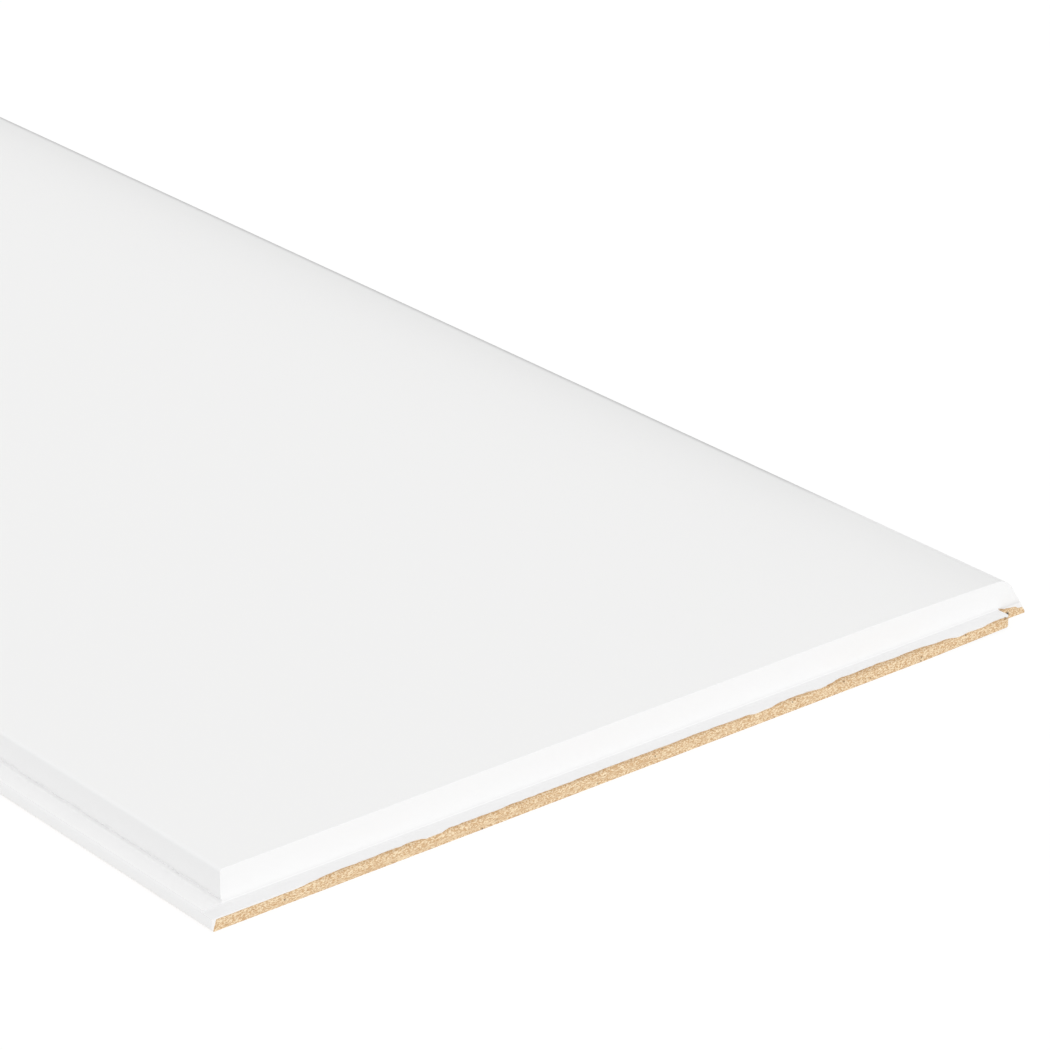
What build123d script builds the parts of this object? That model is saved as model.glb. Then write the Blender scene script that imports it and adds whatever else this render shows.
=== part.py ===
"""Wall panel: one board of coated fibreboard with lips on two edges and an eased bevel on a third.

Millimetres. X runs across the panel, Y along it, Z up through its thickness.
The near end faces -Y, the lipped long edge faces -X and the back lies on Z = 0.
"""
import os

from build123d import *

# the board without its lips
body_width = 206.7
body_length = 1300.0
thickness = 10.0

# lips along the left edge and the near end
side_lap = 4.6
end_lap = 3.5
side_lip_height = 3.1
end_lip_height = 2.7
side_lip_chamfer_out = 0.3
side_lip_chamfer_down = 0.5
lip_stop = 8.2

# right edge: the face eases down, rounds over and runs down a bevel to an upright foot
ease_length = 46.0
ease_drop = 0.75
edge_radius = 5.0
bevel_width = 5.4
foot_height = 0.4

# small working details
quirk_height = 0.9
quirk_depth = 0.45
cove_radius = 0.5
back_arris = 0.4

bevel_top = body_width - bevel_width
ease_start = bevel_top - ease_length
lip_end = body_width - lip_stop


def side_section():
    """Section across the panel: left lip, quirk and face, then the eased and bevelled right edge."""
    with BuildSketch(Plane.XZ) as section:
        with BuildLine():
            Polyline(
                (bevel_top, thickness - ease_drop),
                (body_width, foot_height),
                (body_width, 0),
                (-side_lap + back_arris, 0),
                (-side_lap, back_arris),
                (-side_lap, side_lip_height - side_lip_chamfer_down),
                (-side_lap + side_lip_chamfer_out, side_lip_height),
                (0, side_lip_height),
                (quirk_depth, side_lip_height + quirk_height / 2),
                (0, side_lip_height + quirk_height),
                (0, thickness),
                (ease_start, thickness),
            )
            TangentArc((ease_start, thickness), (bevel_top, thickness - ease_drop), tangent=(1, 0))
        make_face()
    return section.sketch


def near_rebate_section():
    """What is cut away above the near lip, with a cove in its inner corner."""
    with BuildSketch(Plane.YZ) as section:
        with BuildLine():
            Polyline(
                (0, end_lip_height + cove_radius),
                (0, 2 * thickness),
                (-2 * end_lap, 2 * thickness),
                (-2 * end_lap, end_lip_height),
                (-cove_radius, end_lip_height),
            )
            RadiusArc((-cove_radius, end_lip_height), (0, end_lip_height + cove_radius), -cove_radius)
        make_face()
    return section.sketch


def rounded_edge(board):
    """The long edge where the eased face meets the bevel, rounded over."""
    crest = [
        e for e in board.edges().filter_by(Axis.Y)
        if abs(e.center().X - bevel_top) < 0.01 and abs(e.center().Z - (thickness - ease_drop)) < 0.01
    ]
    return fillet(crest, radius=edge_radius)


def panel():
    """The whole board, placed with the middle of its underside at the origin."""
    board = extrude(side_section(), amount=body_length + end_lap, dir=(0, 1, 0))
    board = rounded_edge(Pos(0, -end_lap, 0) * board)

    rebate = extrude(near_rebate_section(), amount=lip_end + 2 * side_lap, dir=(1, 0, 0))
    board = board - Pos(-2 * side_lap, 0, 0) * rebate

    notch = Box(2 * lip_stop, end_lap, 4 * thickness, align=(Align.MIN, Align.MAX, Align.CENTER))
    board = board - Pos(lip_end, 0, 0) * notch

    box = board.bounding_box()
    return Pos(-box.center().X, -box.center().Y, -box.min.Z) * board


os.makedirs("parts", exist_ok=True)
wall_panel = panel()
wall_panel.label = "wall_panel"
print(f"solids {len(wall_panel.solids())}, volume {wall_panel.volume:.1f} mm3, box {wall_panel.bounding_box().size}")
export_step(wall_panel, "parts/wall_panel.step")
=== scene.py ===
"""Lipped wall panel: the white-coated board, its raw cut ends and its studio.

Metres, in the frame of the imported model: X across the panel, Y along it, Z up.
"""
import math

import bmesh
import bpy
from bpy.props import FloatProperty, FloatVectorProperty, PointerProperty
from mathutils import Matrix, Vector, noise


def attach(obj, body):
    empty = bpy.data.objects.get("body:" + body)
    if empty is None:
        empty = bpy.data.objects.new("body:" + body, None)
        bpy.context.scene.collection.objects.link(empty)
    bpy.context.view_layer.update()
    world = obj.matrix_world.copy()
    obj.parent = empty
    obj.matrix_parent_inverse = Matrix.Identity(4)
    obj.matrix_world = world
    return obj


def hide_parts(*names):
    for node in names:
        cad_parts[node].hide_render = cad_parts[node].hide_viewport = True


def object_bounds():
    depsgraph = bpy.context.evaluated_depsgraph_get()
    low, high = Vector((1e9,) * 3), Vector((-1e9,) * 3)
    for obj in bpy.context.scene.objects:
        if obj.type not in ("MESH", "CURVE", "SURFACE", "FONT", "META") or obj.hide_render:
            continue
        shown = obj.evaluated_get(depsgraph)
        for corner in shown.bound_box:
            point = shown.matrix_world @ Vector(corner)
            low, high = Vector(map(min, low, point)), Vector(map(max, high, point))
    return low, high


bl_info = {
    "name": "Lipped Wall Panel",
    "version": (1, 0, 0),
    "blender": (4, 5, 0),
    "location": "View3D > Sidebar > Wall Panel",
    "description": "Dresses a lipped wall panel with its white coat, raw cut ends and studio",
    "category": "Object",
}

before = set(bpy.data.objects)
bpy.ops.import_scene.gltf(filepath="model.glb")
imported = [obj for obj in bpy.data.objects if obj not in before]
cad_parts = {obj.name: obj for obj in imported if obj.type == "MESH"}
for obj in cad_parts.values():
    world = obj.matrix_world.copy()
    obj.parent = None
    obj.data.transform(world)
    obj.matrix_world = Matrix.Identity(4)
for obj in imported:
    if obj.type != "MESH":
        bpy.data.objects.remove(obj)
CAD_BOX = [[float(v) for v in corner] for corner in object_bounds()]
MM = 0.001


def length(name, description, millimetres):
    """A length property, with its default given in millimetres."""
    return FloatProperty(
        name=name, description=description, default=millimetres * MM, min=0.0,
        unit="LENGTH", subtype="DISTANCE", precision=5,
    )


def tint(name, description, colour):
    """A colour property, in linear light."""
    return FloatVectorProperty(
        name=name, description=description, default=colour, size=3, min=0.0, max=1.0, subtype="COLOR",
    )


class PanelSizes(bpy.types.PropertyGroup):
    """Section of the board and how its edges are broken."""

    side_lap: length("Side lap", "How far the lip on the left edge sticks out", 4.6)
    end_lap: length("End lap", "How far the lip on the near end sticks out", 3.5)
    side_lip: length("Side lip height", "Thickness of the lip on the left edge", 3.1)
    end_lip: length("End lip height", "Thickness of the lip on the near end", 2.7)
    lip_stop: length("Lip stop", "How far the near lip stops short of the right edge", 8.2)
    lip_chamfer_out: length("Lip chamfer width", "Width of the chamfer on the side lip", 0.3)
    lip_chamfer_down: length("Lip chamfer height", "Height of the chamfer on the side lip", 0.5)
    ease: length("Ease", "Width over which the face eases down to the right", 46)
    ease_drop: length("Ease drop", "How far the face eases down to the right", 0.75)
    edge_radius: length("Edge radius", "Rounding between the face and the right bevel", 5)
    bevel: length("Bevel", "Width of the bevel on the right edge", 5.4)
    foot: length("Foot", "Upright edge below the bevel", 0.4)
    quirk_height: length("Quirk height", "Height of the small groove at the foot of the left face", 0.9)
    quirk_depth: length("Quirk depth", "Depth of the small groove at the foot of the left face", 0.45)
    cove: length("Cove radius", "Hollow at the foot of the near face", 0.5)
    back_arris: length("Back arris", "Broken edge along the back", 0.4)
    left_arris: length("Left arris", "Rounding of the left edge of the face", 0.75)
    lip_round: length("Lip end rounding", "Rounding of the near lip's free end", 1.4)
    worn_foot: length("Worn foot", "Length of the wear under the near lip's free end", 24)
    worn_rise: length("Worn rise", "Height of the wear under the near lip's free end", 0.45)
    lip_burr: length("Lip end burr", "Torn board left standing at the near lip's free end", 0.7)
    near_arris: length("Near arris", "Rounding of the near edge of the face", 0.4)
    coat: length("Coat thickness", "Thickness of the coat where the saw has cut it", 0.34)
    chip: length("Chip depth", "Deepest chip in the coat along the sawn lip", 1.0)


class PanelFinish(bpy.types.PropertyGroup):
    """Colours and gloss of the coat and of the bare board."""

    coat: tint("Coat", "Smooth white coat", (0.885, 0.885, 0.882))
    milled: tint("Milled coat", "White coat on the cut edges", (0.891, 0.891, 0.892))
    # painted light: the lip coat is a brighter copy of the white coat, lifting the shade on the left lip
    # and its ledge
    lip: tint("Lip coat", "White coat on the left lip and its ledge", (0.931, 0.931, 0.931))
    gloss: FloatProperty(
        name="Coat roughness", description="Roughness of the satin coat", default=0.42, min=0, max=1,
    )
    board: tint("Board", "Bare fibreboard", (0.64, 0.415, 0.22))
    fibre: tint("Pale fibre", "Light fibres in the board", (0.93, 0.77, 0.54))
    # the dark fibre colour also paints shade under the near lip's overhanging coat
    dark_fibre_and_shade: tint("Dark fibre", "Dark fibres in the board", (0.36, 0.19, 0.075))
    # the dark speck colour also paints a shadow spot in the broken root's recess
    dark_speck_and_shadow: tint("Knot hole", "Dark hole in the broken root, and specks in the board", (0.05, 0.035, 0.025))


class StudioSettings(bpy.types.PropertyGroup):
    """Camera, light and floor."""

    lens: FloatProperty(
        name="Focal length", description="Focal length of the camera", default=162.46, unit="CAMERA",
    )
    camera: FloatVectorProperty(
        name="Camera", description="Place of the camera", default=(-0.540211, -1.276792, 0.423113),
        size=3, subtype="TRANSLATION", unit="LENGTH",
    )
    heading: FloatProperty(
        name="Heading", description="Turn of the view from +Y towards +X",
        default=math.radians(39.1296), subtype="ANGLE",
    )
    dip: FloatProperty(
        name="Dip", description="How far the view points down",
        default=math.radians(24.2276), subtype="ANGLE",
    )
    roll: FloatProperty(
        name="Roll", description="Turn of the camera about its view",
        default=math.radians(0.1417), subtype="ANGLE",
    )
    ambient: FloatProperty(name="Ambient", description="Soft light from all around", default=0.915, min=0)
    flag_gap: length("Flag gap", "From the right edge to the black flags that shade its sheen", 6)
    flag_top: length("Flag top", "Height of the high flag's top above the floor", 21)
    flag_sill: length("Flag sill", "Height where the high flag begins and the low flag ends", 12.3)
    flag_lead: length("Flag lead", "How far the high flag runs past the near end", 50)
    flag_start: length("Flag start", "From the near end to where the low flag begins", 46)
    flag_slant: length("Flag slant", "How far the low flag's near end leans back at its top", 30)
    key: FloatProperty(
        name="Key", description="Strength of the key light from the near end", default=0.82, min=0,
    )


def sizes():
    return bpy.context.scene.wall_panel_sizes


def finish():
    return bpy.context.scene.wall_panel_finish


def studio():
    return bpy.context.scene.wall_panel_studio


class Edges:
    """Lines of the board that its sizes put in the frame."""

    def __init__(self, s):
        low, high = CAD_BOX
        self.left, self.right = low[0], high[0]
        self.near, self.far = low[1], high[1]
        self.top = high[2]
        self.face_left = self.left + s.side_lap
        self.face_near = self.near + s.end_lap
        self.bevel_top = self.right - s.bevel
        self.ease_start = self.bevel_top - s.ease
        self.lip_end = self.right - s.lip_stop + s.lip_burr


def faces_where(bm, test):
    """Faces whose middle and normal pass a test."""
    return [f for f in bm.faces if test(f.calc_center_median(), f.normal)]


def near_to(value, target, room=1e-5):
    return abs(value - target) < room


def split(bm, faces, point, normal):
    """Cuts the given faces along a plane."""
    parts = [v for f in faces for v in f.verts] + [e for f in faces for e in f.edges] + list(faces)
    geom = list(dict.fromkeys(parts))
    return bmesh.ops.bisect_plane(bm, geom=geom, dist=1e-7, plane_co=point, plane_no=normal)


def slice_along(bm, faces, axis, places):
    """Cuts a run of faces into short lengths, working along one axis."""
    rest = list(faces)
    normal = Vector((0, 0, 0))
    normal[axis] = 1
    for place in places:
        result = split(bm, rest, normal * place, normal)
        pieces = [g for g in result["geom"] if isinstance(g, bmesh.types.BMFace)]
        whole = dict.fromkeys(pieces + [f for f in rest if f.is_valid])
        rest = [f for f in whole if f.calc_center_median()[axis] > place]


def pull(bm, faces, offset, keep=False):
    """Extrudes a flat patch of faces; the patch itself stays only where it closes the far side."""
    result = bmesh.ops.extrude_face_region(bm, geom=faces)
    verts = [g for g in result["geom"] if isinstance(g, bmesh.types.BMVert)]
    bmesh.ops.translate(bm, verts=verts, vec=offset)
    if not keep:
        bmesh.ops.delete(bm, geom=faces, context="FACES_ONLY")


def wander(place, pitch, seed):
    """Smooth noise along a line, about -1 to 1."""
    return noise.noise(Vector((place / pitch, seed * 7.31, seed * 3.17)))


def swing(bm, vert, centre, angle, steps):
    """Carries a vertex round a centre in the section and gives back the last vertex."""
    result = bmesh.ops.spin(
        bm, geom=[vert], cent=centre, axis=(0, 1, 0), angle=angle, steps=steps,
        use_merge=False, use_duplicate=False,
    )
    return [g for g in result["geom_last"] if isinstance(g, bmesh.types.BMVert)][0]


def section(bm, s, e):
    """The board's section at its near face, as one flat face."""
    y = e.face_near
    broad = (s.ease**2 + s.ease_drop**2) / (2 * s.ease_drop)
    hub = Vector((e.ease_start, y, e.top - broad))
    crest = Vector((e.bevel_top, y, e.top - s.ease_drop))
    along = (Vector((e.right, y, s.foot)) - crest).normalized()
    inward = Vector((along.z, 0, -along.x))
    from_hub = crest + inward * s.edge_radius - hub
    reach = from_hub.dot(along)
    travel = -reach - math.sqrt(reach**2 - from_hub.length_squared + (broad - s.edge_radius) ** 2)
    centre = hub + from_hub + along * travel
    lean = math.atan2(centre.x - hub.x, centre.z - hub.z)
    slope = math.atan2(-inward.x, -inward.z)
    start = bm.verts.new((e.ease_start, y, e.top))
    touch = swing(bm, start, hub, lean, 8)
    swing(bm, touch, centre, slope - lean, 8)
    curve = sorted(bm.verts, key=lambda v: v.co.x)
    corners = [
        (e.right, s.foot),
        (e.right, 0),
        (e.left + s.back_arris, 0),
        (e.left, s.back_arris),
        (e.left, s.side_lip - s.lip_chamfer_down),
        (e.left + s.lip_chamfer_out, s.side_lip),
        (e.face_left, s.side_lip),
        (e.face_left + s.quirk_depth, s.side_lip + 0.3 * s.quirk_height),
        (e.face_left, s.side_lip + s.quirk_height),
        (e.face_left, e.top),
    ]
    return bm.faces.new(curve + [bm.verts.new((x, y, z)) for x, z in corners])


def pull_near_lip(bm, s, e):
    """Near lip, stopped short of the right edge."""
    split(bm, faces_where(bm, lambda c, n: n.y < -0.9), (0, 0, s.end_lip), (0, 0, 1))
    low = lambda c, n: n.y < -0.9 and c.z < s.end_lip
    split(bm, faces_where(bm, low), (e.lip_end, 0, 0), (1, 0, 0))
    pull(bm, faces_where(bm, lambda c, n: low(c, n) and c.x < e.lip_end), (0, -s.end_lap, 0))


def hollow_near_foot(bm, s, e):
    """Cove where the near face meets the lip."""
    bm.normal_update()
    ledge = faces_where(bm, lambda c, n: n.z > 0.9 and near_to(c.z, s.end_lip))
    split(bm, ledge, (0, e.face_near - s.cove, 0), (0, 1, 0))
    band = faces_where(bm, lambda c, n: n.y < -0.9 and near_to(c.y, e.face_near) and c.z > s.end_lip)
    split(bm, band, (0, 0, s.end_lip + s.cove), (0, 0, 1))
    low = lambda c, n: n.y < -0.9 and near_to(c.y, e.face_near) and c.z < s.end_lip + s.cove
    rim = lambda c, n: n.z > 0.9 and near_to(c.z, s.end_lip) and c.y > e.face_near - s.cove
    runout = e.lip_end - 0.3 * MM
    for x in (e.face_left, runout, e.lip_end):
        split(bm, faces_where(bm, lambda c, n: low(c, n) or rim(c, n)), (x, 0, 0), (1, 0, 0))
    between = lambda c: e.face_left < c.x < runout
    halfway = 0.6 * s.cove
    long_rim = faces_where(bm, lambda c, n: rim(c, n) and between(c))
    split(bm, long_rim, (0, e.face_near - halfway, 0), (0, 1, 0))
    long_low = faces_where(bm, lambda c, n: low(c, n) and between(c))
    split(bm, long_low, (0, 0, s.end_lip + halfway), (0, 0, 1))
    rows = (((0, halfway), 22.5), ((0, 0), 45.0), ((-halfway, 0), 67.5))
    for v in bm.verts:
        if not e.face_left - 1e-6 < v.co.x < runout + 1e-6:
            continue
        for (out, up), angle in rows:
            if near_to(v.co.y, e.face_near + out) and near_to(v.co.z, s.end_lip + up):
                turn = math.radians(angle)
                v.co.y = e.face_near - s.cove * (1 - math.cos(turn))
                v.co.z = s.end_lip + s.cove * (1 - math.sin(turn))
                break


def soften_edges(bm, s, e):
    """Small rounding on the coated edges."""
    def runs(edge, test):
        a, b = edge.verts
        return test(a.co) and test(b.co)

    left_top = [x for x in bm.edges if runs(x, lambda p: near_to(p.x, e.face_left) and near_to(p.z, e.top))]
    bmesh.ops.bevel(
        bm, geom=left_top, offset=s.left_arris, offset_type="OFFSET", affect="EDGES",
        segments=4, profile=0.5, clamp_overlap=True, material=-1,
    )
    lip_end = [x for x in bm.edges if runs(x, lambda p: near_to(p.x, e.lip_end) and near_to(p.y, e.near))]
    bmesh.ops.bevel(
        bm, geom=lip_end, offset=s.lip_round, offset_type="OFFSET", affect="EDGES",
        segments=4, profile=0.5, clamp_overlap=True, material=-1,
    )
    bm.normal_update()
    band = s.end_lip + s.cove - 1e-5
    outline = [
        x for x in bm.edges
        if x.calc_face_angle(0) > 0.5
        and runs(x, lambda p: near_to(p.y, e.face_near) and (p.z > band or p.x > e.bevel_top))
        and not runs(x, lambda p: near_to(p.z, 0))
    ]
    bmesh.ops.bevel(
        bm, geom=outline, offset=s.near_arris, offset_type="OFFSET", affect="EDGES",
        segments=3, profile=0.5, clamp_overlap=True, material=-1,
    )


# material slots: the left lip's slot is a brighter copy of the coat as painted light; the near rebate's
# slot carries painted shade in its cove
SMOOTH, MILLED, RAW, LIT_LIP, SHADED_REBATE = 0, 1, 2, 3, 4


def places(start, stop, step):
    """Evenly spaced places between two ends, ends left out."""
    count = max(2, round((stop - start) / step))
    return [start + (stop - start) * i / count for i in range(1, count)]


class Rows:
    """Heights and lines of the extra rows that carry the ragged edges."""

    def __init__(self, s, e):
        self.coat_foot = s.end_lip - s.coat
        self.chip_foot = s.end_lip - 0.5 * MM
        self.lip_calm = s.end_lip - 1.1 * MM
        self.ledge_calm = e.near + 1.6 * MM
        self.foot_calm = e.face_left - 0.5 * MM
        self.lip_top = e.left + s.lip_chamfer_out
        self.lip_in = self.lip_top + 0.4 * MM
        self.lip_low = s.side_lip - s.lip_chamfer_down - 0.5 * MM
        self.quirk_top = s.side_lip + s.quirk_height
        self.quirk_calm = self.quirk_top + 0.6 * MM


def cut_rows(bm, s, e):
    """Extra rows and columns along the edges that are not clean."""
    r = Rows(s, e)
    lip = lambda c, n: n.y < -0.9 and near_to(c.y, e.near) and c.z < s.end_lip
    for z in (r.coat_foot, r.chip_foot, r.lip_calm):
        split(bm, faces_where(bm, lip), (0, 0, z), (0, 0, 1))
    ledge = lambda c, n: n.z > 0.9 and near_to(c.z, s.end_lip) and c.y < e.face_near
    split(bm, faces_where(bm, ledge), (0, r.ledge_calm, 0), (0, 1, 0))
    split(bm, faces_where(bm, lip), (e.left + 0.15 * MM, 0, 0), (s.end_lip, 0, -1.0 * MM))
    strip = faces_where(bm, lambda c, n: (
        (lip(c, n) and c.z > r.lip_calm) or (ledge(c, n) and c.y < r.ledge_calm)))
    slice_along(bm, strip, 0, places(e.left + 0.3 * MM, e.lip_end, 0.4 * MM))

    under = lambda c, n: n.z < -0.9 and c.z < 1e-6
    split(bm, faces_where(bm, under), (0, e.face_near, 0), (0, 1, 0))
    foot = faces_where(bm, lambda c, n: (
        (under(c, n) and c.y < e.face_near) or (lip(c, n) and c.z < r.lip_calm)))
    split(bm, foot, (e.lip_end - s.worn_foot, 0, 0), (1, 0, 0))

    side_ledge = lambda c, n: n.z > 0.9 and near_to(c.z, s.side_lip) and c.x < e.face_left
    split(bm, faces_where(bm, side_ledge), (r.foot_calm, 0, 0), (1, 0, 0))
    split(bm, faces_where(bm, side_ledge), (r.lip_in, 0, 0), (1, 0, 0))
    side = lambda c, n: n.x < -0.9 and c.y > e.face_near
    for x, z in ((e.face_left, r.quirk_calm), (e.left, r.lip_low)):
        split(bm, faces_where(bm, lambda c, n: side(c, n) and near_to(c.x, x)), (0, 0, z), (0, 0, 1))
    long_strip = faces_where(bm, lambda c, n: c.y > e.face_near and c.x < e.face_left + s.quirk_depth and (
        (side_ledge(c, n) and not r.lip_in < c.x < r.foot_calm)
        or (s.side_lip < c.z < r.quirk_calm and n.x < -0.3)
        or (r.lip_low < c.z < s.side_lip and n.x < -0.3)))
    slice_along(bm, long_strip, 1, places(e.face_near, e.far, 1.0 * MM))

    stub = lambda c, n: (
        n.y < -0.9 and near_to(c.y, e.face_near) and c.x > e.lip_end and c.z < s.end_lip + s.cove)
    for z in (0.8 * MM, 1.4 * MM, 2.0 * MM):
        split(bm, faces_where(bm, stub), (0, 0, z), (0, 0, 1))
    slice_along(bm, faces_where(bm, stub), 0, places(e.lip_end, e.right, 0.25 * MM))
    far_end = faces_where(bm, lambda c, n: n.y > 0.9 and near_to(c.y, e.far))
    bmesh.ops.inset_region(bm, faces=far_end, thickness=s.coat, depth=0, use_even_offset=True)
    bm.normal_update()


def paint(bm, s, e):
    """Smooth coat on the face, milled coat on the cut edges, bare board where nothing is coated; a brighter
    lip coat as painted light on the left lip, and the rebate coat with painted shade in the near rebate.
    """
    r = Rows(s, e)
    far_end = faces_where(bm, lambda c, n: n.y > 0.9 and near_to(c.y, e.far))
    sawn = max(far_end, key=lambda f: f.calc_area())
    for face in bm.faces:
        c, n = face.calc_center_median(), face.normal
        bare = (
            (n.z < -0.65 and c.z < 0.5 * MM)
            or (n.y < -0.9 and near_to(c.y, e.near) and c.z < r.coat_foot
                and (c.x - e.left - 0.15 * MM) * s.end_lip > c.z * MM)
            or (n.y < -0.9 and near_to(c.y, e.face_near) and c.x > e.lip_end and c.z < s.end_lip)
            or (n.y > 0.9 and near_to(c.y, e.far) and (face == sawn or c.z < 0.5 * MM))
            or (n.x > 0.15 and abs(n.z) < 0.3 and c.y < e.face_near and c.x > e.lip_end - 1.1 * s.lip_round)
        )
        # painted light: the left lip's outer face and its ledge take the brighter lip coat, which lifts the
        # shade the left face and floor cast on them
        ledge = c.y > e.face_near and n.z > 0.9 and near_to(c.z, s.side_lip, 0.1 * MM)
        lip = c.x < e.face_left - 0.1 * MM and (ledge or (n.x < -0.95 and c.z < s.side_lip))
        rebate = c.y < e.face_near + 1e-5
        plain = (c.z > e.top - s.ease_drop - 1e-6 and n.z > 0.99) or (c.x > e.ease_start and n.y > -0.5)
        ranked = ((bare, RAW), (plain, SMOOTH), (lip, LIT_LIP), (rebate, SHADED_REBATE), (True, MILLED))
        face.material_index = next(index for found, index in ranked if found)


# places along the near lip where the coat still holds: distance from the left face, half width, how firmly
HELD = ((4, 22, 1.0), (47.3, 4, 0.7), (62, 4, 0.35), (123, 5, 0.35), (130.5, 5, 0.75), (147.3, 4.5, 0.55),
        (181, 7, 0.4), (187.5, 8, 0.85), (197, 9, 0.5))


def chip_depth(x, s, e):
    """How deep the coat is chipped at one place along the near lip."""
    held = 0.0
    for place, half, hold in HELD:
        gone = abs((x - e.face_left) / MM - place) / half
        held = max(held, hold * min(1.0, max(0.0, 2.0 * (1.0 - gone))))
    rough = 0.1 * wander(x, 6 * MM, 1) + 0.09 * wander(x, 2.2 * MM, 2) + 0.06 * wander(x, 0.9 * MM, 8)
    share = 0.62 if x < e.face_left + 148 * MM else 1.0
    return share * s.chip * max(0.0, (1.0 - held) * (1.0 + 2 * rough) + rough * 0.5)


def tear_near_lip(bm, s, e):
    """Chipped coat and rough saw cut along the near lip."""
    r = Rows(s, e)
    rows = {}
    for v in bm.verts:
        if near_to(v.co.y, e.near) and e.left + 0.2 * MM < v.co.x < e.lip_end + 1e-6:
            for name, z in (("top", s.end_lip), ("coat", r.coat_foot), ("chip", r.chip_foot)):
                if near_to(v.co.z, z):
                    rows.setdefault(name, []).append(v)
    for v in bm.verts:
        worn = (v.co.x - e.lip_end + s.worn_foot) / s.worn_foot
        if near_to(v.co.z, 0) and v.co.y < e.face_near - 1e-5 and worn > 0:
            v.co.z += s.worn_rise * worn
    for name, verts in rows.items():
        for v in verts:
            x = v.co.x
            bite = min(1.45 * MM, chip_depth(x, s, e))
            torn = min(1.0, bite / (0.4 * MM))
            if name == "top":
                back, up = bite + 0.04 * MM, -0.02 * MM
            elif name == "coat":
                back = bite + 0.04 * MM + 0.1 * MM * torn
                up = 0.16 * MM * torn + 0.05 * MM * wander(x, 3.1 * MM, 3)
            else:
                back = 0.06 * MM * (1 + wander(x, 0.8 * MM, 7))
                up = 0.12 * MM * wander(x, 2.3 * MM, 4) * torn
            v.co += Vector((0, back, up))


def wear_left_edge(bm, s, e):
    """Ragged quirk and slightly uneven lip along the left edge."""
    r = Rows(s, e)
    for v in list(bm.verts):
        if not e.face_near + 1e-5 < v.co.y < e.far - 1e-5:
            continue
        y, z = v.co.y, v.co.z
        fuzz = 0.6 * wander(y, 2.6 * MM, 11) + 0.4 * wander(y, 1.3 * MM, 12)
        if near_to(v.co.x, e.face_left) and near_to(z, r.quirk_top):
            v.co += Vector((0, 0, 0.28 * fuzz * MM))
        elif near_to(v.co.x, e.face_left) and near_to(z, s.side_lip):
            v.co.x -= 0.1 * MM * (1 + wander(y, 1.7 * MM, 13))
        elif near_to(v.co.x, e.face_left + s.quirk_depth) and near_to(z, s.side_lip + 0.3 * s.quirk_height):
            v.co += Vector((0.1 * MM * wander(y, 2.1 * MM, 14), 0, 0.1 * MM * fuzz))
        elif near_to(v.co.x, r.lip_top) and near_to(z, s.side_lip):
            v.co.x += 0.08 * MM * (1 + wander(y, 2.3 * MM, 15))
            v.co.z -= 0.02 * MM * (1 + wander(y, 1.9 * MM, 16))


# the broken root of the near lip: share of the way to the right edge, height of its torn top in millimetres
ROOT = ((0.0, 3.1), (0.06, 2.95), (0.18, 2.7), (0.39, 2.4), (0.56, 2.35), (0.75, 1.7), (1.0, 0.9))


def root_height(x, s, e):
    """Height of the torn top of the root at one place across the panel."""
    share = (x - e.lip_end) / (e.right - e.lip_end)
    for (start, low), (stop, high) in zip(ROOT, ROOT[1:]):
        if share <= stop:
            level = low + (high - low) * (share - start) / (stop - start)
            return (level + 0.14 * wander(x, 0.6 * MM, 20)) * MM
    return ROOT[-1][1] * MM


def tear_stub(bm, s, e):
    """Broken root of the near lip, between the lip's end and the right edge."""
    calm = 4.4 * MM
    lean = s.bevel / (e.top - s.ease_drop - s.foot)
    for v in bm.verts:
        x, z = v.co.x, v.co.z
        if not (near_to(v.co.y, e.face_near) and e.lip_end + 1e-6 < x and z < calm):
            continue
        room = e.right - (z - s.foot) * lean - x
        torn = root_height(x, s, e)
        if z > s.end_lip + 0.05 * MM:
            v.co.z = torn + (z - s.end_lip) * (calm - torn) / (calm - s.end_lip)
        else:
            v.co.z = z * torn / s.end_lip
            if 0.1 * MM < z < s.end_lip - 0.1 * MM and room > 0.6 * MM:
                v.co.y += 0.1 * MM * (1 + wander(x, 0.7 * MM, 21 + round(z / MM * 5)))
        if room < 0.6 * MM and z > s.foot:
            v.co.x += (z - max(v.co.z, s.foot)) * lean


def add_object(name, bm):
    """Puts a finished bmesh into the scene as an object at the origin."""
    mesh = bpy.data.meshes.new(name)
    bm.to_mesh(mesh)
    bm.free()
    made = bpy.data.objects.new(name, mesh)
    bpy.context.scene.collection.objects.link(made)
    return made


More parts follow.
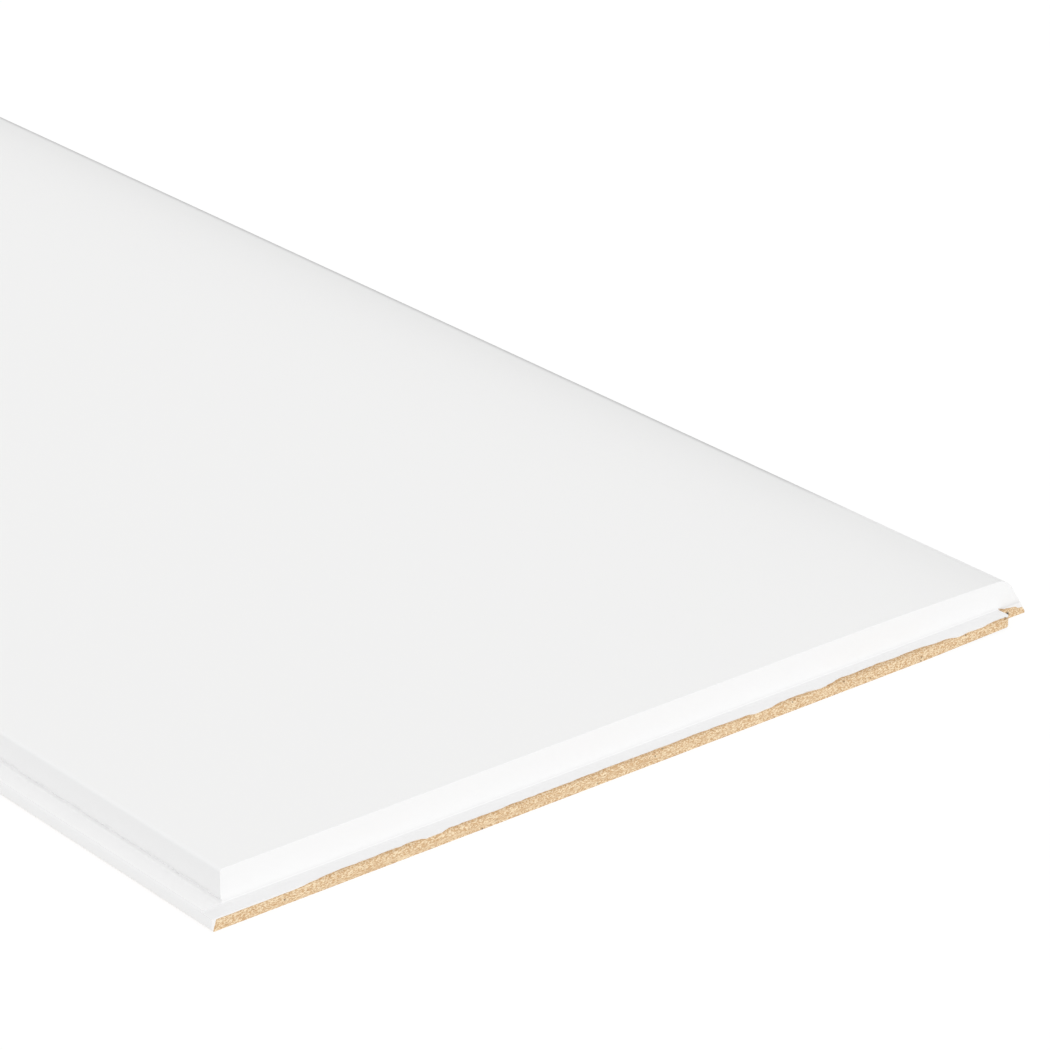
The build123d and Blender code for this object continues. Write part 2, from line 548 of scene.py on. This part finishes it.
class WALLPANEL_OT_board(bpy.types.Operator):
    """Make the coated board"""

    bl_idname = "wall_panel.board"
    bl_label = "Board"

    def execute(self, context):
        s = sizes()
        e = Edges(s)
        bm = bmesh.new()
        near = section(bm, s, e)
        pull(bm, [near], (0, e.far - e.face_near, 0), keep=True)
        bmesh.ops.recalc_face_normals(bm, faces=bm.faces)
        pull_near_lip(bm, s, e)
        hollow_near_foot(bm, s, e)
        soften_edges(bm, s, e)
        bmesh.ops.remove_doubles(bm, verts=bm.verts, dist=1e-7)
        bmesh.ops.recalc_face_normals(bm, faces=bm.faces)
        cut_rows(bm, s, e)
        paint(bm, s, e)
        tear_near_lip(bm, s, e)
        wear_left_edge(bm, s, e)
        tear_stub(bm, s, e)
        bmesh.ops.recalc_face_normals(bm, faces=bm.faces)
        board = add_object("coated_board", bm)
        mesh = board.data
        f = finish()
        quirk_shade = (s.side_lip, 2 * MM, QUIRK_SHADE)
        rebate_coat_shaded = (s.end_lip, 1.5 * MM, REBATE_SHADE)
        # the smooth coat carries painted shade along the crest of the right edge
        mesh.materials.append(coat_material("smooth_coat_crest_shaded", f.coat, FACE_PEEL, crest=e))
        # the milled coat carries painted shade in the quirk at the foot of the left face
        mesh.materials.append(coat_material("milled_coat_quirk_shaded", f.milled, EDGE_PEEL, quirk_shade))
        mesh.materials.append(board_material())
        # the lip coat is a brighter copy of the coat, painted light on the left lip
        mesh.materials.append(coat_material("lit_lip_coat", f.lip, EDGE_PEEL))
        # the rebate coat carries painted shade in the cove at the foot of the near face
        mesh.materials.append(coat_material("rebate_coat_shaded", f.milled, EDGE_PEEL, rebate_coat_shaded))
        for face in mesh.polygons:
            face.use_smooth = True
        mesh.set_sharp_from_angle(angle=math.radians(35))
        weigh = board.modifiers.new("weighted_normals", "WEIGHTED_NORMAL")
        weigh.mode = "FACE_AREA"
        weigh.weight = 50
        weigh.keep_sharp = True
        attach(board, "root")
        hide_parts("wall_panel")
        return {"FINISHED"}


# orange peel: its fineness, and its strength on the face and on the cut edges
PEEL_GRAIN, FACE_PEEL, EDGE_PEEL = 900, 0.02, 0.12

# depth of the relief that the materials draw
RELIEF_DEPTH = 0.2 * MM

# painted shade on the coat above a ledge, where shade falls in the quirk and the cove: share of the way up,
# share of the coat's brightness
QUIRK_SHADE = ((0, 0.978), (0.3, 1.0), (0.45, 0.985), (0.68, 0.972), (0.85, 0.985), (1, 0.994))
REBATE_SHADE = ((0, 0.984), (0.08, 0.9), (0.22, 0.884), (0.34, 0.924),
               (0.46, 0.957), (0.6, 0.976), (0.8, 0.994), (1, 1))


def coat_material(name, colour, bump, shade_band=None, crest=None):
    """Satin white coat with a faint orange peel, and where asked, painted shade low on upright faces or
    along the right edge's crest.
    """
    material = bpy.data.materials.new(name)
    material.use_nodes = True
    nodes, links = material.node_tree.nodes, material.node_tree.links
    shader = nodes["Principled BSDF"]
    shader.inputs["Base Color"].default_value = (*colour, 1)
    shader.inputs["Roughness"].default_value = finish().gloss
    place = nodes.new("ShaderNodeTexCoord")
    peel = nodes.new("ShaderNodeTexNoise")
    peel.inputs["Scale"].default_value = PEEL_GRAIN
    peel.inputs["Detail"].default_value = 3
    relief = nodes.new("ShaderNodeBump")
    relief.inputs["Strength"].default_value = bump
    relief.inputs["Distance"].default_value = RELIEF_DEPTH
    links.new(place.outputs["Object"], peel.inputs["Vector"])
    links.new(peel.outputs["Fac"], relief.inputs["Height"])
    links.new(relief.outputs["Normal"], shader.inputs["Normal"])
    if shade_band:
        painted_foot_shade(nodes, links, shader, place, colour, *shade_band)
    if crest:
        painted_crest_shade(nodes, links, shader, place, colour, crest)
    return material


# painted shade along the crest of the right edge, standing in for the rounded edge turning away from the
# light, in millimetres: where it starts and is full, across from the bevel's top and along from the near
# face; then its share of the coat's brightness
CREST_ACROSS = ((-2.4, -0.9), (2.0, 0.8))
CREST_ALONG = (38, 78)
CREST_SHADE = 0.8


def painted_crest_shade(nodes, links, shader, place, colour, e):
    """Painted shade: a greyer line along the crest of the right edge, standing in for the rounded edge
    turning away from the light, dying out by the near end.
    """
    spread = nodes.new("ShaderNodeSeparateXYZ")
    links.new(place.outputs["Object"], spread.inputs["Vector"])
    limits = [("X", e.bevel_top, ends) for ends in CREST_ACROSS] + [("Y", e.face_near, CREST_ALONG)]
    found = None
    for axis, line, (none, full) in limits:
        share = nodes.new("ShaderNodeMapRange")
        share.inputs["From Min"].default_value = line + none * MM
        share.inputs["From Max"].default_value = line + full * MM
        links.new(spread.outputs[axis], share.inputs["Value"])
        if found is None:
            found = share.outputs["Result"]
            continue
        both = nodes.new("ShaderNodeMath")
        both.operation = "MULTIPLY"
        links.new(found, both.inputs[0])
        links.new(share.outputs["Result"], both.inputs[1])
        found = both.outputs[0]
    mix = nodes.new("ShaderNodeMix")
    mix.data_type = "RGBA"
    links.new(found, mix.inputs["Factor"])
    mix.inputs[6].default_value = (*colour, 1)
    mix.inputs[7].default_value = (*[v * CREST_SHADE for v in colour], 1)
    links.new(mix.outputs[2], shader.inputs["Base Color"])


def painted_foot_shade(nodes, links, shader, place, colour, low, rise, shade_stops):
    """Painted shade: greyer coat low on an upright face, in the corner above a ledge where shade falls."""
    height = nodes.new("ShaderNodeSeparateXYZ")
    links.new(place.outputs["Object"], height.inputs["Vector"])
    share = nodes.new("ShaderNodeMapRange")
    share.inputs["From Min"].default_value = low
    share.inputs["From Max"].default_value = low + rise
    links.new(height.outputs["Z"], share.inputs["Value"])
    ramp = nodes.new("ShaderNodeValToRGB")
    stops = ramp.color_ramp.elements
    for index, (place_up, full) in enumerate(shade_stops):
        stop = stops[0] if index == 0 else stops[-1] if place_up == 1 else stops.new(place_up)
        stop.color = (*[v * full for v in colour], 1)
    links.new(share.outputs["Result"], ramp.inputs["Fac"])
    links.new(ramp.outputs["Color"], shader.inputs["Base Color"])


# bare board: fineness of its pale fibres, dark fibres and specks, and the span of the noise that shows them
PALE_GRAIN, PALE_SPAN = 2600, (0.44, 0.58)
DARK_GRAIN, DARK_SPAN = 1700, (0.63, 0.72)
SPECK_GRAIN, SPECK_SPAN, SPECK_SHARE = 400, (0.11, 0.05), 0.65

# painted shade under the overhanging coat of the near lip, with the board there darker too: its depth, its
# share and how far behind the near face it ends
UNDERCOAT_SHADE_DEPTH, UNDERCOAT_SHADE_SHARE, UNDERCOAT_SHADE_ENDS = 0.6 * MM, 0.6, (2 * MM, 1 * MM)

# painted shadow spot in the broken root, standing in for the shade in the recess by the near lip's end:
# distance past the lip's end, height, and the radii where it ends and is full
SHADOW_SPOT_PAST, SHADOW_SPOT_UP, SHADOW_SPOT_RADII = 2.4 * MM, 1.1 * MM, (0.7 * MM, 0.2 * MM)


def board_material():
    """Bare fibreboard: tan ground with pale fibres, dark fibres and specks, with painted shade under the
    near lip's coat and a painted shadow spot in the broken root.
    """
    s = sizes()
    e = Edges(s)
    f = finish()
    material = bpy.data.materials.new("bare_board")
    material.use_nodes = True
    nodes, links = material.node_tree.nodes, material.node_tree.links
    shader = nodes["Principled BSDF"]
    shader.inputs["Roughness"].default_value = 0.85
    shader.inputs["Specular IOR Level"].default_value = 0.2
    place = nodes.new("ShaderNodeTexCoord")
    stretch = nodes.new("ShaderNodeMapping")
    stretch.inputs["Scale"].default_value = (1.0, 1.0, 2.2)
    links.new(place.outputs["Object"], stretch.inputs["Vector"])

    def grain(scale, detail, vector):
        node = nodes.new("ShaderNodeTexNoise")
        node.inputs["Scale"].default_value = scale
        node.inputs["Detail"].default_value = detail
        links.new(vector, node.inputs["Vector"])
        return node

    def ramp(source, low, high):
        node = nodes.new("ShaderNodeMapRange")
        node.inputs["From Min"].default_value = low
        node.inputs["From Max"].default_value = high
        links.new(source, node.inputs["Value"])
        return node

    def blend(factor, first, second):
        node = nodes.new("ShaderNodeMix")
        node.data_type = "RGBA"
        links.new(factor, node.inputs["Factor"])
        for value, socket in ((first, 6), (second, 7)):
            if isinstance(value, bpy.types.NodeSocket):
                links.new(value, node.inputs[socket])
            else:
                node.inputs[socket].default_value = (*value, 1)
        return node

    fine = grain(PALE_GRAIN, 3, stretch.outputs["Vector"])
    pale = ramp(fine.outputs["Fac"], *PALE_SPAN)
    coarse = grain(DARK_GRAIN, 3, stretch.outputs["Vector"])
    dark = ramp(coarse.outputs["Fac"], *DARK_SPAN)
    fibred = blend(pale.outputs["Result"], f.board, f.fibre)
    barked = blend(dark.outputs["Result"], fibred.outputs[2], f.dark_fibre_and_shade)
    seeds = nodes.new("ShaderNodeTexVoronoi")
    seeds.inputs["Scale"].default_value = SPECK_GRAIN
    links.new(place.outputs["Object"], seeds.inputs["Vector"])
    speck = ramp(seeds.outputs["Distance"], *SPECK_SPAN)
    speck.inputs["To Max"].default_value = SPECK_SHARE
    specked = blend(speck.outputs["Result"], barked.outputs[2], f.dark_speck_and_shadow)
    spread = nodes.new("ShaderNodeSeparateXYZ")
    links.new(place.outputs["Object"], spread.inputs["Vector"])
    # painted shade under the overhanging coat of the near lip, with darker board there too
    torn = ramp(spread.outputs["Z"], s.end_lip - UNDERCOAT_SHADE_DEPTH, s.end_lip)
    torn.inputs["To Max"].default_value = UNDERCOAT_SHADE_SHARE
    near = ramp(spread.outputs["Y"], *[e.face_near + behind for behind in UNDERCOAT_SHADE_ENDS])
    both = nodes.new("ShaderNodeMath")
    both.operation = "MULTIPLY"
    links.new(torn.outputs["Result"], both.inputs[0])
    links.new(near.outputs["Result"], both.inputs[1])
    undercoat_shaded = blend(both.outputs[0], specked.outputs[2], f.dark_fibre_and_shade)
    # painted shadow spot: a dark spot standing in for the shade in the recess by the near lip's end
    dark_speck_and_shadow = nodes.new("ShaderNodeVectorMath")
    dark_speck_and_shadow.operation = "DISTANCE"
    dark_speck_and_shadow.inputs[1].default_value = (e.lip_end + SHADOW_SPOT_PAST, e.face_near, SHADOW_SPOT_UP)
    links.new(place.outputs["Object"], dark_speck_and_shadow.inputs[0])
    inside = ramp(dark_speck_and_shadow.outputs["Value"], *SHADOW_SPOT_RADII)
    shadow_spotted = blend(inside.outputs["Result"], undercoat_shaded.outputs[2], f.dark_speck_and_shadow)
    links.new(shadow_spotted.outputs[2], shader.inputs["Base Color"])
    relief = nodes.new("ShaderNodeBump")
    relief.inputs["Strength"].default_value = 0.5
    relief.inputs["Distance"].default_value = RELIEF_DEPTH
    links.new(fine.outputs["Fac"], relief.inputs["Height"])
    links.new(relief.outputs["Normal"], shader.inputs["Normal"])
    return material


def direct_ray(nodes, links):
    """Socket that is 1 for rays from the camera, a reflection or a clear material."""
    path = nodes.new("ShaderNodeLightPath")
    found = path.outputs["Is Camera Ray"]
    for name in ("Is Glossy Ray", "Is Transmission Ray"):
        either = nodes.new("ShaderNodeMath")
        either.operation = "MAXIMUM"
        links.new(found, either.inputs[0])
        links.new(path.outputs[name], either.inputs[1])
        found = either.outputs[0]
    return found


def floor_material():
    """Pale floor that reads white to the camera and keeps a faint shadow."""
    material = bpy.data.materials.new("pale_floor")
    material.use_nodes = True
    nodes, links = material.node_tree.nodes, material.node_tree.links
    nodes.clear()
    out = nodes.new("ShaderNodeOutputMaterial")
    plain = nodes.new("ShaderNodeBsdfDiffuse")
    plain.inputs["Color"].default_value = (0.75, 0.75, 0.75, 1)
    faint = nodes.new("ShaderNodeBsdfDiffuse")
    faint.inputs["Color"].default_value = (0.12, 0.12, 0.12, 1)
    glow = nodes.new("ShaderNodeEmission")
    glow.inputs["Strength"].default_value = 0.9
    seen = nodes.new("ShaderNodeAddShader")
    links.new(faint.outputs[0], seen.inputs[0])
    links.new(glow.outputs[0], seen.inputs[1])
    choose = nodes.new("ShaderNodeMixShader")
    links.new(direct_ray(nodes, links), choose.inputs[0])
    links.new(plain.outputs[0], choose.inputs[1])
    links.new(seen.outputs[0], choose.inputs[2])
    links.new(choose.outputs[0], out.inputs["Surface"])
    return material


def flag_material():
    """Black cloth of the flags beside the board."""
    material = bpy.data.materials.new("black_cloth")
    material.use_nodes = True
    shader = material.node_tree.nodes["Principled BSDF"]
    shader.inputs["Base Color"].default_value = (0.02, 0.02, 0.02, 1)
    shader.inputs["Roughness"].default_value = 0.9
    return material


def light_world(ambient):
    """Soft light from all around, white where the camera or a reflection sees it."""
    world = bpy.data.worlds.new("studio_light")
    world.use_nodes = True
    bpy.context.scene.world = world
    nodes, links = world.node_tree.nodes, world.node_tree.links
    nodes.clear()
    out = nodes.new("ShaderNodeOutputWorld")
    soft = nodes.new("ShaderNodeBackground")
    soft.inputs["Color"].default_value = (1, 1, 1, 1)
    soft.inputs["Strength"].default_value = ambient
    white = nodes.new("ShaderNodeBackground")
    white.inputs["Color"].default_value = (1, 1, 1, 1)
    white.inputs["Strength"].default_value = 1.0
    choose = nodes.new("ShaderNodeMixShader")
    links.new(direct_ray(nodes, links), choose.inputs[0])
    links.new(soft.outputs[0], choose.inputs[1])
    links.new(white.outputs[0], choose.inputs[2])
    links.new(choose.outputs[0], out.inputs["Surface"])


def stand_flag(name, gap, low, high, start, slant):
    """Strip of black cloth beside the right edge, which only the coat's sheen can see."""
    first = CAD_BOX[0][1] + start
    middle = (low + high) / 2
    reach = Vector((high - low, CAD_BOX[1][1] - first, 1))
    place = (CAD_BOX[1][0] + gap, first + reach.y / 2, middle)
    bm = bmesh.new()
    bmesh.ops.create_grid(bm, x_segments=1, y_segments=1, size=0.5)
    bmesh.ops.scale(bm, vec=reach, verts=bm.verts)
    bmesh.ops.rotate(bm, cent=(0, 0, 0), matrix=Matrix.Rotation(math.radians(90), 3, "Y"), verts=bm.verts)
    bmesh.ops.translate(bm, vec=place, verts=bm.verts)
    near_top = [v for v in bm.verts if v.co.y < place[1] and v.co.z > middle]
    bmesh.ops.translate(bm, vec=(0, slant, 0), verts=near_top)
    flag = add_object(name, bm)
    flag.data.materials.append(flag_material())
    for ray in ("camera", "diffuse", "transmission", "volume_scatter", "shadow"):
        setattr(flag, "visible_" + ray, False)


# where the key light comes from and how wide it looks
KEY_FROM, KEY_SPREAD = Vector((-0.35, -0.9, 0.27)), math.radians(30)


class WALLPANEL_OT_stage(bpy.types.Operator):
    """Set the floor, the light and the camera"""

    bl_idname = "wall_panel.stage"
    bl_label = "Studio"

    def execute(self, context):
        k = studio()
        scene = context.scene
        scene.view_settings.view_transform = "Standard"

        bm = bmesh.new()
        bmesh.ops.create_grid(bm, x_segments=1, y_segments=1, size=6)
        floor = add_object("floor", bm)
        floor.data.materials.append(floor_material())
        stand_flag("high_flag", k.flag_gap, k.flag_sill, k.flag_top, -k.flag_lead, 0)
        stand_flag("low_flag", k.flag_gap, 0, k.flag_sill, k.flag_start, k.flag_slant)

        light_world(k.ambient)
        key = bpy.data.lights.new("key", "SUN")
        key.energy = k.key
        key.angle = KEY_SPREAD
        lamp = bpy.data.objects.new("key", key)
        lamp.rotation_euler = KEY_FROM.to_track_quat("Z", "Y").to_euler()
        scene.collection.objects.link(lamp)

        camera = bpy.data.cameras.new("camera")
        camera.sensor_width = 36
        camera.lens = k.lens
        camera.clip_start = 0.01
        camera.clip_end = 50
        eye = bpy.data.objects.new("camera", camera)
        level = math.cos(k.dip)
        ahead = Vector((math.sin(k.heading) * level, math.cos(k.heading) * level, -math.sin(k.dip)))
        across = Vector((math.cos(k.heading), -math.sin(k.heading), 0))
        below = ahead.cross(across)
        right = math.cos(k.roll) * across + math.sin(k.roll) * below
        down = -math.sin(k.roll) * across + math.cos(k.roll) * below
        turn = Matrix((right, -down, -ahead)).transposed().to_4x4()
        eye.matrix_world = Matrix.Translation(k.camera) @ turn
        scene.collection.objects.link(eye)
        scene.camera = eye
        return {"FINISHED"}


class WALLPANEL_PT_sidebar(bpy.types.Panel):
    """Lists the panel's pieces and settings"""

    bl_idname = "WALLPANEL_PT_sidebar"
    bl_label = "Wall Panel"
    bl_space_type = "VIEW_3D"
    bl_region_type = "UI"
    bl_category = "Wall Panel"

    def draw(self, context):
        layout = self.layout
        for operator in (WALLPANEL_OT_board, WALLPANEL_OT_stage):
            layout.operator(operator.bl_idname)
        for group in (sizes(), finish(), studio()):
            column = layout.column(align=True)
            for name in group.__annotations__:
                column.prop(group, name)


CLASSES = (
    PanelSizes, PanelFinish, StudioSettings,
    WALLPANEL_OT_board, WALLPANEL_OT_stage, WALLPANEL_PT_sidebar,
)


def register():
    for cls in CLASSES:
        bpy.utils.register_class(cls)
    bpy.types.Scene.wall_panel_sizes = PointerProperty(type=PanelSizes)
    bpy.types.Scene.wall_panel_finish = PointerProperty(type=PanelFinish)
    bpy.types.Scene.wall_panel_studio = PointerProperty(type=StudioSettings)


def unregister():
    del bpy.types.Scene.wall_panel_studio
    del bpy.types.Scene.wall_panel_finish
    del bpy.types.Scene.wall_panel_sizes
    for cls in reversed(CLASSES):
        bpy.utils.unregister_class(cls)


def main():
    register()
    bpy.ops.wall_panel.board()
    bpy.ops.wall_panel.stage()


if __name__ == "__main__":
    main()
